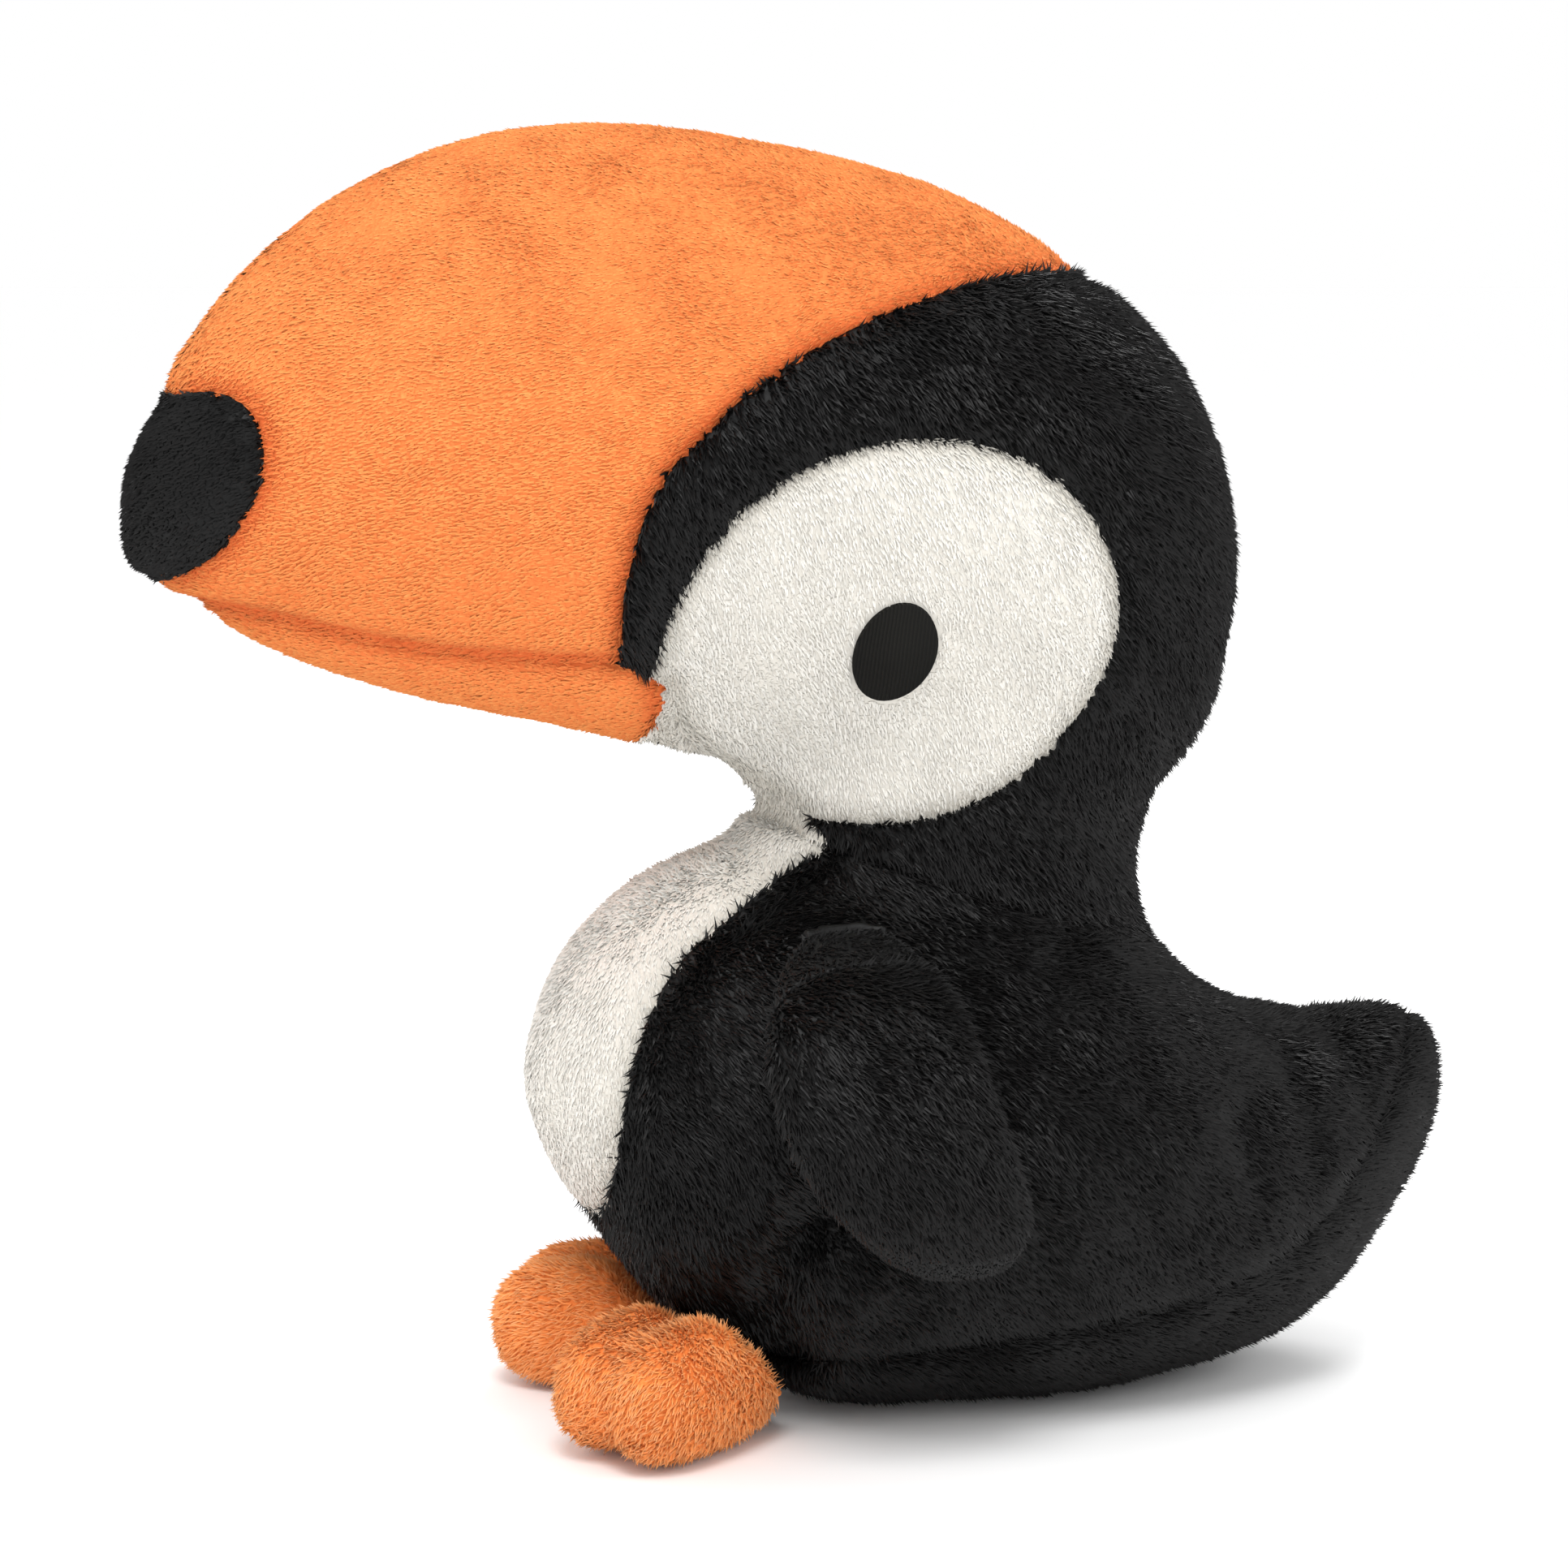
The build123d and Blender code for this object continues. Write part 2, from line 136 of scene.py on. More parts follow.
def smooth_line(points, steps=10):
    """A smooth curve through the points, as rows of (x, z)."""
    p = np.array(points, float)
    p = np.vstack([2 * p[0] - p[1], p, 2 * p[-1] - p[-2]])
    t = np.linspace(0, 1, steps, endpoint=False)[:, None]
    runs = [
        0.5 * (2 * b + (c - a) * t + (2 * a - 5 * b + 4 * c - d) * t**2 + (3 * b - a - 3 * c + d) * t**3)
        for a, b, c, d in zip(p, p[1:], p[2:], p[3:])
    ]
    return np.vstack([*runs, p[-2:-1]])


def oval_line(oval, steps=64):
    """The closed outline of an oval on the head, as rows of (x, z)."""
    at, length, height, turn = oval
    t = np.linspace(0, math.tau, steps + 1)
    x, z = length / 2 * np.cos(t), height / 2 * np.sin(t)
    c, s = math.cos(math.radians(turn)), math.sin(math.radians(turn))
    return np.stack([x * c - z * s, x * s + z * c], 1) + np.array(head_point(*at))


def inside(area, spots):
    """For each (x, z) spot, whether it is inside the closed area."""
    x, z = spots[:, 0], spots[:, 1]
    found = np.zeros(len(spots), bool)
    for (x0, z0), (x1, z1) in zip(area, np.roll(area, -1, 0)):
        if z0 != z1:
            found ^= ((z0 > z) != (z1 > z)) & (x < (x1 - x0) * (z - z0) / (z1 - z0) + x0)
    return found


def nearest(line, spots):
    """For each spot, the nearest point of the line and the distance to it."""
    a, b = line[:-1], line[1:]
    run = b - a
    size = (run**2).sum(1).clip(1e-16)
    best, place = np.full(len(spots), np.inf), np.zeros((len(spots), 2))
    for start, step, square in zip(a, run, size):
        t = (((spots - start) @ step) / square).clip(0, 1)
        point = start + t[:, None] * step
        far = np.linalg.norm(spots - point, axis=1)
        closer = far < best
        best[closer], place[closer] = far[closer], point[closer]
    return place, best


# ---- Meshes ----


def coordinates(mesh):
    """The mesh's points as rows of three numbers."""
    flat = np.empty(len(mesh.vertices) * 3, np.float32)
    mesh.vertices.foreach_get("co", flat)
    return flat.reshape(-1, 3).astype(float)


def put(mesh, points):
    """Move the mesh's points to these rows."""
    mesh.vertices.foreach_set("co", points.astype(np.float32).ravel())
    mesh.update()


def add_object(name, mesh):
    """A new object in the scene."""
    made = bpy.data.objects.new(name, mesh)
    bpy.context.scene.collection.objects.link(made)
    return made


def applied(made):
    """The object with its modifiers applied to its mesh."""
    graph = bpy.context.evaluated_depsgraph_get()
    mesh = bpy.data.meshes.new_from_object(
        made.evaluated_get(graph), preserve_all_data_layers=True, depsgraph=graph
    )
    made.modifiers.clear()
    made.data = mesh
    mesh.name = made.name
    return made


def form_of(name, nodes, voxel, rounds, inset):
    """One closed, smoothed form in the space of several CAD nodes, pulled in to leave room for pile."""
    bm = bmesh.new()
    for node in nodes:
        bm.from_mesh(frame["nodes"][node].data)
    bmesh.ops.remove_doubles(bm, verts=bm.verts, dist=1e-6)
    mesh = bpy.data.meshes.new(name)
    bm.to_mesh(mesh)
    bm.free()
    mesh.materials.clear()
    made = add_object(name, mesh)
    remesh = made.modifiers.new("Even weave", "REMESH")
    remesh.mode = "VOXEL"
    remesh.voxel_size = voxel
    applied(made)
    bm = bmesh.new()
    bm.from_mesh(made.data)
    drop_inner(bm)
    for _ in range(rounds):
        bmesh.ops.smooth_vert(
            bm, verts=bm.verts, factor=0.5, use_axis_x=True, use_axis_y=True, use_axis_z=True
        )
    bmesh.ops.recalc_face_normals(bm, faces=bm.faces)
    bm.normal_update()
    for vert in bm.verts:
        vert.co -= vert.normal * inset
    bm.to_mesh(made.data)
    bm.free()
    return made


def drop_inner(bm):
    """Keep only the largest connected skin."""
    left, islands = set(bm.verts), []
    while left:
        start = left.pop()
        island, edge = [start], [start]
        while edge:
            for link in edge.pop().link_edges:
                for vert in link.verts:
                    if vert in left:
                        left.discard(vert)
                        island.append(vert)
                        edge.append(vert)
        islands.append(island)
    islands.sort(key=len)
    for island in islands[:-1]:
        bmesh.ops.delete(bm, geom=island, context="VERTS")


def stuff(made, seam_far, pressure, most, frames=16):
    """Blow the form up as cloth, held at its seams, and cap how far a point may go."""
    rest = coordinates(made.data)
    hold = made.vertex_groups.new(name="seams")
    for index, far in enumerate(seam_far):
        hold.add([index], float(np.clip(1 - far / (4 * MM), 0, 1)), "REPLACE")
    cloth = made.modifiers.new("Stuffing", "CLOTH")
    cloth.settings.quality = 4
    cloth.settings.mass = 0.01
    cloth.settings.tension_stiffness = 12
    cloth.settings.compression_stiffness = 6
    cloth.settings.shear_stiffness = 4
    cloth.settings.bending_stiffness = 0.4
    cloth.settings.use_pressure = True
    cloth.settings.uniform_pressure_force = pressure
    cloth.settings.vertex_group_mass = "seams"
    cloth.settings.effector_weights.gravity = 0
    cloth.point_cache.frame_start = 1
    cloth.point_cache.frame_end = frames
    for step in range(1, frames + 1):
        bpy.context.scene.frame_set(step)
    graph = bpy.context.evaluated_depsgraph_get()
    blown = coordinates(made.evaluated_get(graph).data)
    made.modifiers.clear()
    made.vertex_groups.clear()
    bpy.context.scene.frame_set(1)
    move = blown - rest
    far = np.linalg.norm(move, axis=1, keepdims=True)
    print(f"stuffed {made.name}: moved up to {far.max() / MM:.2f} mm, mean {far.mean() / MM:.2f} mm")
    put(made.data, rest + move * np.minimum(1, most / far.clip(1e-9)))


def smoother(made, levels):
    """Round the mesh off with subdivision, applied."""
    rounder = made.modifiers.new("Rounding", "SUBSURF")
    rounder.levels = rounder.render_levels = levels
    return applied(made)


def seam_distance(points, lines):
    """How far each point is from the nearest seam, seen from the side."""
    spots = points[:, [0, 2]]
    far = np.full(len(points), np.inf)
    for line in lines:
        far = np.minimum(far, nearest(line, spots)[1])
    return far


def sink_seams(made, lines, depth, width):
    """Draw the skin in along its seams, which the thread pulls tight, and store how near each point is to a
    seam, which the fabric uses for painted shade.
    """
    points = coordinates(made.data)
    normals = np.array([vert.normal for vert in made.data.vertices])
    close = np.exp(-((seam_distance(points, lines) / width) ** 2))
    put(made.data, points - normals * close[:, None] * depth)
    # The seam attribute drives painted shade: the fabric darkens its colour near seams, tucks and darts.
    seam_shade_mark = made.data.attributes.get("seam") or made.data.attributes.new("seam", "FLOAT", "POINT")
    known = np.empty(len(points), np.float32)
    seam_shade_mark.data.foreach_get("value", known)
    seam_shade_mark.data.foreach_set("value", np.maximum(known, close).astype(np.float32))


def snap_to_seams(made, lines, reach):
    """Slide the points beside a seam onto it, so that the panels meet in a clean line."""
    points = coordinates(made.data)
    spots = points[:, [0, 2]]
    best, target = np.full(len(points), reach), spots.copy()
    for line in lines:
        place, far = nearest(line, spots)
        closer = far < best
        best[closer], target[closer] = far[closer], place[closer]
    middle = np.abs(points[:, 1]) < reach
    points[:, [0, 2]] = target
    points[middle, 1] = 0
    put(made.data, points)


def face_middles(mesh):
    """The middle of each face, as rows of three numbers."""
    flat = np.empty(len(mesh.polygons) * 3, np.float32)
    mesh.polygons.foreach_get("center", flat)
    return flat.reshape(-1, 3).astype(float)


def cut_panel(made, name, mine, thickness, bare=None):
    """The chosen faces of a form as a panel of their own, given its cloth's thickness inwards."""
    bm = bmesh.new()
    bm.from_mesh(made.data)
    pile = bm.faces.layers.float.new("pile")
    bm.faces.ensure_lookup_table()
    for index, face in enumerate(bm.faces):
        face[pile] = 0.0 if bare is not None and bare[index] else 1.0
    others = [face for index, face in enumerate(bm.faces) if not mine[index]]
    bmesh.ops.delete(bm, geom=others, context="FACES")
    outer = list(bm.faces)
    bm.normal_update()
    lean = {vert: vert.normal.copy() for vert in bm.verts}
    copied = bmesh.ops.duplicate(bm, geom=outer)
    twins = copied["vert_map"]
    back = [item for item in copied["geom"] if isinstance(item, bmesh.types.BMFace)]
    bmesh.ops.reverse_faces(bm, faces=back)
    for vert, normal in lean.items():
        twins[vert].co = vert.co - normal * thickness
    rims = [edge for face in outer for edge in face.edges if edge.is_boundary]
    closing = []
    for edge in rims:
        loop = edge.link_loops[0]
        start, end = loop.vert, loop.link_loop_next.vert
        closing.append(bm.faces.new((end, start, twins[start], twins[end])))
    for face in back + closing:
        face[pile] = 0.0
    for face in bm.faces:
        face.smooth = True
    mesh = bpy.data.meshes.new(name)
    bm.to_mesh(mesh)
    bm.free()
    return add_object(name, mesh)


# ---- Pile ----


def tuft(width):
    """One closed tuft of pile, a three-sided spike one unit long, that knows how high each point is."""
    bm = bmesh.new()
    bmesh.ops.create_cone(bm, cap_ends=True, segments=3, radius1=width / 2, radius2=0, depth=1)
    bmesh.ops.translate(bm, verts=bm.verts, vec=(0, 0, 0.5))
    bmesh.ops.remove_doubles(bm, verts=bm.verts, dist=1e-4)
    height = bm.verts.layers.float.new("height")
    for vert in bm.verts:
        vert[height] = vert.co.z
    mesh = bpy.data.meshes.new("tuft")
    bm.to_mesh(mesh)
    bm.free()
    made = bpy.data.objects.new("tuft", mesh)
    return made


def put_node(tree, kind, settings=None, **links):
    """Add a node with its settings, its input values and its links."""
    made = tree.nodes.new(kind)
    for key, value in (settings or {}).items():
        setattr(made, key, value)
    for key, value in links.items():
        numbered = key.startswith("in") and key[2:].isdigit()
        socket = made.inputs[int(key[2:]) if numbered else key.replace("_", " ")]
        if isinstance(value, bpy.types.NodeSocket):
            tree.links.new(value, socket)
        else:
            socket.default_value = value
    return made


def vector_maths(tree, operation, **links):
    """Add a vector maths node."""
    return put_node(tree, "ShaderNodeVectorMath", {"operation": operation}, **links)


def maths(tree, operation, **links):
    """Add a maths node."""
    return put_node(tree, "ShaderNodeMath", {"operation": operation}, **links)


def darkened_colour(code, share):
    """A hex code's colour, darkened to a share of its light."""
    return tuple(share * c for c in linear(code)[:3]) + (1.0,)


SHORTEST_TUFT, LONGEST_TUFT = 0.7, 1.15  # shares of a pile's length


def pile_nodes(spike, density, length, flat, nap, tousle, seed):
    """Geometry nodes that plant tufts on a panel, laid over along the nap and tousled."""
    tree = bpy.data.node_groups.new("Pile", "GeometryNodeTree")
    tree.interface.new_socket("Geometry", in_out="INPUT", socket_type="NodeSocketGeometry")
    tree.interface.new_socket("Geometry", in_out="OUTPUT", socket_type="NodeSocketGeometry")
    skin = put_node(tree, "NodeGroupInput").outputs[0]
    pile = put_node(tree, "GeometryNodeInputNamedAttribute", {"data_type": "FLOAT"}, Name="pile")
    spots = put_node(
        tree, "GeometryNodeDistributePointsOnFaces", {"distribute_method": "RANDOM"},
        Mesh=skin, Selection=pile.outputs[0], Density=density, Seed=seed,
    )
    keep = put_node(tree, "GeometryNodeStoreNamedAttribute", {"data_type": "FLOAT_VECTOR", "domain": "POINT"},
                    Geometry=spots.outputs[0], Name="lay", Value=spots.outputs["Normal"])
    chance = put_node(tree, "FunctionNodeRandomValue", {"data_type": "FLOAT"}, Seed=seed + 1)
    keep = put_node(tree, "GeometryNodeStoreNamedAttribute", {"data_type": "FLOAT", "domain": "POINT"},
                    Geometry=keep.outputs[0], Name="tint", Value=chance.outputs[1])
    ruffle = put_node(tree, "ShaderNodeTexNoise", {"noise_dimensions": "3D"},
                      Vector=put_node(tree, "GeometryNodeInputPosition").outputs[0], Scale=90.0, Detail=2.0)
    centred = vector_maths(tree, "SUBTRACT", in0=ruffle.outputs["Color"], in1=(0.5, 0.5, 0.5))
    swirl = vector_maths(tree, "SCALE", in0=centred.outputs[0], Scale=tousle * 4)
    stray = put_node(tree, "FunctionNodeRandomValue", {"data_type": "FLOAT_VECTOR"},
                     Seed=seed + 2, in0=(-tousle,) * 3, in1=(tousle,) * 3)
    lean = vector_maths(tree, "ADD", in0=swirl.outputs[0], in1=stray.outputs[0])
    # Only the part of the nap that runs along the skin counts, so no tuft dips into the cloth.
    into = vector_maths(tree, "DOT_PRODUCT", in0=spots.outputs["Normal"], in1=nap)
    dip = vector_maths(tree, "SCALE", in0=spots.outputs["Normal"], Scale=into.outputs["Value"])
    along = vector_maths(tree, "SUBTRACT", in0=nap, in1=dip.outputs[0])
    lean = vector_maths(tree, "ADD", in0=lean.outputs[0], in1=along.outputs[0])
    up = vector_maths(tree, "SCALE", in0=spots.outputs["Normal"], Scale=flat)
    aim = vector_maths(tree, "ADD", in0=lean.outputs[0], in1=up.outputs[0])
    turn = put_node(tree, "FunctionNodeAlignRotationToVector", {"axis": "Z"}, Vector=aim.outputs[0])
    long = put_node(tree, "FunctionNodeRandomValue", {"data_type": "FLOAT"},
                    Seed=seed + 3, in2=length * SHORTEST_TUFT, in3=length * LONGEST_TUFT)
    size = put_node(tree, "ShaderNodeCombineXYZ", None, X=MM, Y=MM, Z=long.outputs[1])
    spike_in = put_node(tree, "GeometryNodeObjectInfo", {"transform_space": "ORIGINAL"}, Object=spike)
    planted = put_node(tree, "GeometryNodeInstanceOnPoints", None, Points=keep.outputs[0],
                       Instance=spike_in.outputs["Geometry"], Rotation=turn.outputs[0], Scale=size.outputs[0])
    solid = put_node(tree, "GeometryNodeRealizeInstances", None, Geometry=planted.outputs[0])
    both = put_node(tree, "GeometryNodeJoinGeometry")
    tree.links.new(solid.outputs[0], both.inputs[0])
    tree.links.new(skin, both.inputs[0])
    out = put_node(tree, "NodeGroupOutput")
    tree.links.new(both.outputs[0], out.inputs[0])
    return tree


def plant_pile(made, spike, density, length, flat, nap, tousle, seed):
    """Cover a panel with pile and apply it."""
    cover = made.modifiers.new("Pile", "NODES")
    cover.node_group = pile_nodes(spike, density, length, flat, nap, tousle, seed)
    applied(made)
    return made


# ---- Materials ----


def linear(code):
    """A linear colour from an sRGB hex code."""
    parts = [int(code[i : i + 2], 16) / 255 for i in (1, 3, 5)]
    return (*(c / 12.92 if c <= 0.04045 else ((c + 0.055) / 1.055) ** 2.4 for c in parts), 1.0)


def material(name):
    """A new material with a Principled shader, and both."""
    made = bpy.data.materials.new(name)
    made.use_nodes = True
    return made, made.node_tree, made.node_tree.nodes["Principled BSDF"]


def pile_fabric(name, root, body, tip, roughness, sheen, soft, gloss):
    """Knitted-back polyester plush: matt, with painted shade darkening the pile's colour down among the roots
    and a painted highlight lightening it at the tips.
    """
    made, tree, shader = material(name)
    height = put_node(tree, "ShaderNodeAttribute", {"attribute_name": "height"})
    tint = put_node(tree, "ShaderNodeAttribute", {"attribute_name": "tint"})
    place = put_node(tree, "ShaderNodeTexCoord")
    clump = put_node(tree, "ShaderNodeTexNoise", None,
                     Vector=place.outputs["Object"], Scale=260.0, Detail=3.0)
    wander = maths(tree, "MULTIPLY_ADD", in0=clump.outputs[0], in1=0.5, in2=-0.25)
    vary = maths(tree, "MULTIPLY_ADD", in0=tint.outputs["Fac"], in1=0.3, in2=-0.15)
    rise = maths(tree, "ADD", in0=height.outputs["Fac"], in1=wander.outputs[0])
    rise = maths(tree, "ADD", in0=rise.outputs[0], in1=vary.outputs[0])
    # Painted shade and highlight: up each tuft the colour runs from a darkened root colour, which the bare skin
    # between the tufts also gets, to a lightened tip colour.
    ramp = put_node(tree, "ShaderNodeValToRGB", None, Fac=rise.outputs[0])
    stops = ramp.color_ramp.elements
    stops[0].color, stops[0].position = linear(root), 0.05
    stops[1].color, stops[1].position = linear(tip), 0.95
    middle = stops.new(0.45)
    middle.color = linear(body)
    # Painted shade: the colour is multiplied darker along the seams, where the drawn-in cloth falls into shade.
    sewn = put_node(tree, "ShaderNodeAttribute", {"attribute_name": "seam"})
    dip = maths(tree, "MULTIPLY", in0=sewn.outputs["Fac"], in1=0.5)
    shaded = put_node(tree, "ShaderNodeMix", {"data_type": "RGBA", "blend_type": "MULTIPLY"},
                      in0=dip.outputs[0], in6=ramp.outputs[0])
    shaded.inputs[7].default_value = darkened_colour(root, 0.75)
    tree.links.new(shaded.outputs[2], shader.inputs["Base Color"])
    shader.inputs["Roughness"].default_value = roughness
    shader.inputs["Specular IOR Level"].default_value = gloss
    shader.inputs["Sheen Weight"].default_value = sheen
    shader.inputs["Sheen Roughness"].default_value = 0.5
    shader.inputs["Sheen Tint"].default_value = linear(tip)
    # Fine pile lights as the cloth under it does, so the skin's own direction is mixed into each tuft's.
    lay = put_node(tree, "ShaderNodeAttribute", {"attribute_name": "lay"})
    to_world = {"vector_type": "VECTOR", "convert_from": "OBJECT", "convert_to": "WORLD"}
    world = put_node(tree, "ShaderNodeVectorTransform", to_world, in0=lay.outputs["Vector"])
    own = put_node(tree, "ShaderNodeNewGeometry")
    part = vector_maths(tree, "SCALE", in0=world.outputs[0], Scale=soft)
    whole = vector_maths(tree, "ADD", in0=part.outputs[0], in1=own.outputs["Normal"])
    facing = vector_maths(tree, "NORMALIZE", in0=whole.outputs[0])
    tree.links.new(facing.outputs[0], shader.inputs["Normal"])
    return made


WAVE = 0.314  # the wave texture's scale times its spacing in metres


def cloth_back(name, code, spacing):
    """Plain woven cloth: fine crossing threads, matt and slightly uneven, with a painted highlight where the
    threads rise and painted shade between them.
    """
    made, tree, shader = material(name)
    place = put_node(tree, "ShaderNodeTexCoord")
    across = put_node(tree, "ShaderNodeTexWave", {"bands_direction": "X"},
                      Vector=place.outputs["Object"], Scale=WAVE / spacing)
    along = put_node(tree, "ShaderNodeTexWave", {"bands_direction": "Z"},
                     Vector=place.outputs["Object"], Scale=WAVE / spacing)
    weave = maths(tree, "MULTIPLY", in0=across.outputs["Fac"], in1=along.outputs["Fac"])
    # Painted highlight and shade: the colour follows the weave's height, lighter on the raised threads and
    # darker between them.
    ramp = put_node(tree, "ShaderNodeValToRGB", None, Fac=weave.outputs[0])
    ramp.color_ramp.elements[0].color = darkened_colour(code, 0.8)
    ramp.color_ramp.elements[1].color = linear(code)
    bump = put_node(tree, "ShaderNodeBump", None, Height=weave.outputs[0], Strength=0.3, Distance=0.0002)
    tree.links.new(ramp.outputs[0], shader.inputs["Base Color"])
    tree.links.new(bump.outputs[0], shader.inputs["Normal"])
    shader.inputs["Roughness"].default_value = 0.9
    return made


def fibre_fill(name, code):
    """Loose polyester fibre: white, cloudy and matt."""
    made, tree, shader = material(name)
    place = put_node(tree, "ShaderNodeTexCoord")
    cloud = put_node(tree, "ShaderNodeTexNoise", None,
                     Vector=place.outputs["Object"], Scale=180.0, Detail=6.0)
    ramp = put_node(tree, "ShaderNodeValToRGB", None, Fac=cloud.outputs[0])
    ramp.color_ramp.elements[0].color = darkened_colour(code, 0.75)
    ramp.color_ramp.elements[1].color = linear(code)
    bump = put_node(tree, "ShaderNodeBump", None, Height=cloud.outputs[0], Strength=0.6, Distance=0.001)
    tree.links.new(ramp.outputs[0], shader.inputs["Base Color"])
    tree.links.new(bump.outputs[0], shader.inputs["Normal"])
    shader.inputs["Roughness"].default_value = 0.95
    shader.inputs["Sheen Weight"].default_value = 0.3
    return made


def moulded_pellets(name, code):
    """Moulded polyethylene pellets: milky, round grains with a soft gloss, and painted shade darkening the gaps
    between them.
    """
    made, tree, shader = material(name)
    place = put_node(tree, "ShaderNodeTexCoord")
    grain = put_node(tree, "ShaderNodeTexVoronoi", None, Vector=place.outputs["Object"], Scale=330.0)
    # Painted shade: the colour darkens from each grain's middle out to the gaps between grains.
    ramp = put_node(tree, "ShaderNodeValToRGB", None, Fac=grain.outputs["Distance"])
    ramp.color_ramp.elements[0].color = linear(code)
    ramp.color_ramp.elements[1].color = darkened_colour(code, 0.5)
    bump = put_node(tree, "ShaderNodeBump", {"invert": True},
                    Height=grain.outputs["Distance"], Strength=0.8, Distance=0.001)
    tree.links.new(ramp.outputs[0], shader.inputs["Base Color"])
    tree.links.new(bump.outputs[0], shader.inputs["Normal"])
    shader.inputs["Roughness"].default_value = 0.45
    shader.inputs["IOR"].default_value = 1.51
    return made


def satin_stitch(name, code, thread):
    """Rayon embroidery: parallel threads packed side by side, each with a long soft painted highlight along its
    crest and painted shade in the grooves between.
    """
    made, tree, shader = material(name)
    place = put_node(tree, "ShaderNodeTexCoord")
    rows = put_node(tree, "ShaderNodeTexWave", {"bands_direction": "X"}, Vector=place.outputs["Object"],
                    Scale=WAVE / thread, Distortion=0.6, Detail=2.0)
    # Painted highlight and shade: each thread's crest is coloured lighter and the groove between threads
    # darker.
    ramp = put_node(tree, "ShaderNodeValToRGB", None, Fac=rows.outputs["Fac"])
    ramp.color_ramp.elements[0].color = darkened_colour(code, 0.45)
    ramp.color_ramp.elements[1].color = linear(code)
    bump = put_node(tree, "ShaderNodeBump", None, Height=rows.outputs["Fac"], Strength=0.7, Distance=0.0003)
    tree.links.new(ramp.outputs[0], shader.inputs["Base Color"])
    tree.links.new(bump.outputs[0], shader.inputs["Normal"])
    shader.inputs["Roughness"].default_value = 0.8
    shader.inputs["Specular IOR Level"].default_value = 0.2
    return made


# ---- Settings a user would change ----


def length_of(name, note, default):
    """A length that a user can set, in metres."""
    return FloatProperty(name=name, description=note, default=default, unit="LENGTH")


def colour_of(name, note, default):
    """A colour, or several with spaces between, as sRGB hex codes."""
    return StringProperty(name=name, description=note, default=default)


class ToucanSizes(PropertyGroup):
    """Sizes of the cloth, its pile and its seams."""

    weave: length_of("Form mesh", "Size of the faces that a form starts from", 0.0025)
    small_weave: length_of("Small form mesh", "The same for wings and feet", 0.0016)
    cloth: length_of("Backing", "Thickness of the knitted backing", 0.0006)
    room: length_of("Room for pile", "How far the backing lies inside the outside", 0.0018)
    pile: length_of("Pile", "Length of the orange and white pile", 0.0012)
    black_pile: length_of("Black pile", "Length of the black pile", 0.0023)
    foot_pile: length_of("Foot pile", "Length of the pile on the feet", 0.0019)
    spike: length_of("Tuft", "Width of one tuft at its root", 0.00055)
    thick: FloatProperty(name="Tufts", description="Tufts per square metre", default=3.4e6)
    seam_depth: length_of("Seam depth", "How far the thread draws a seam in", 0.0011)
    seam_width: length_of("Seam width", "How far from the thread the cloth dips", 0.0024)
    thread: length_of("Thread", "Spacing of the embroidery thread, drawn coarser than real", 0.0006)
    seed: IntProperty(name="Seed", description="Start of the random lay of the pile", default=7)


class ToucanColours(PropertyGroup):
    """sRGB hex colours of each pile's root, middle and tip, with painted shade in the darker root and a painted
    highlight in the lighter tip, and of the plain pieces.
    """

    # Each pile's root colour is darkened as painted shade and its tip colour lightened as a painted highlight.
    orange: colour_of("Orange", "Root, middle and tip", "#EC8143 #F28F4C #F9A15C")
    foot: colour_of("Feet", "Root, middle and tip", "#F88F48 #FFA05A #FFB67C")
    black: colour_of("Black", "Root, middle and tip", "#010101 #040303 #0E0C0C")
    white: colour_of("White", "Root, middle and tip", "#DDD9D0 #E8E5DD #F1EFE9")
    pupil: colour_of("Pupil", "Embroidery", "#151410")
    filling: colour_of("Filling", "Fibre", "#F2F1EC")
    pouch: colour_of("Pouch", "Bean pouch", "#DEDBD2")
    pellets: colour_of("Pellets", "Pellets", "#E9E8E2")


def sizes():
    """The size settings."""
    return bpy.context.scene.toucan_sizes


def colours():
    """The colour settings."""
    return bpy.context.scene.toucan_colours


# ---- Building ----

NECK_AT = Vector(NOD["pos_m"])
NECK_UP = Vector(TURN["axis"])
NECK_SEAM = 0.035  # from the turning point to the neck seam, as in the frame
NECK_REACH = 0.066  # nothing but the neck and its neighbours is this near the turning point
HEAD_ABOVE = 0.1  # away from the neck, all that is higher than this is the head
LOOKS = {  # roughness, sheen, share of the skin's own direction, gloss
    "orange": (0.85, 0.3, 1.5, 0.25),
    "foot": (0.85, 0.3, 1.2, 0.25),
    "black": (0.48, 0.02, 0.4, 0.24),
    "white": (0.9, 0.2, 1.5, 0.25),
}
LAYS = {"orange": 0.22, "white": 0.22, "black": 0.5, "foot": 0.5}  # how upright the tufts stand
FILLING_SCALE = 0.95  # keeps the filling's sharp rims clear of the cloth
BLOW = 60  # pressure that stuffs a form
FLOOR_GAP = 0.4 * MM  # the backing stays this far off the floor
BARE_BELOW = 1.2 * MM  # pile that low would be pressed flat, so none is planted


def up_neck(points):
    """How far each point is above the neck seam, and whether it is near the neck."""
    run = points - np.array(NECK_AT)
    return run @ np.array(NECK_UP) - NECK_SEAM, np.linalg.norm(run, axis=1) < NECK_REACH


@functools.cache
def fabric(kind):
    """The pile fabric of one colour, made once."""
    return pile_fabric(f"{kind}_plush", *getattr(colours(), kind).split(), *LOOKS[kind])


@functools.cache
def fibre():
    """The stuffing's fibre, made once."""
    return fibre_fill("fibre_filling", colours().filling)


@functools.cache
def spike():
    """The tuft that every panel's pile repeats, made once."""
    return tuft(sizes().spike / MM)


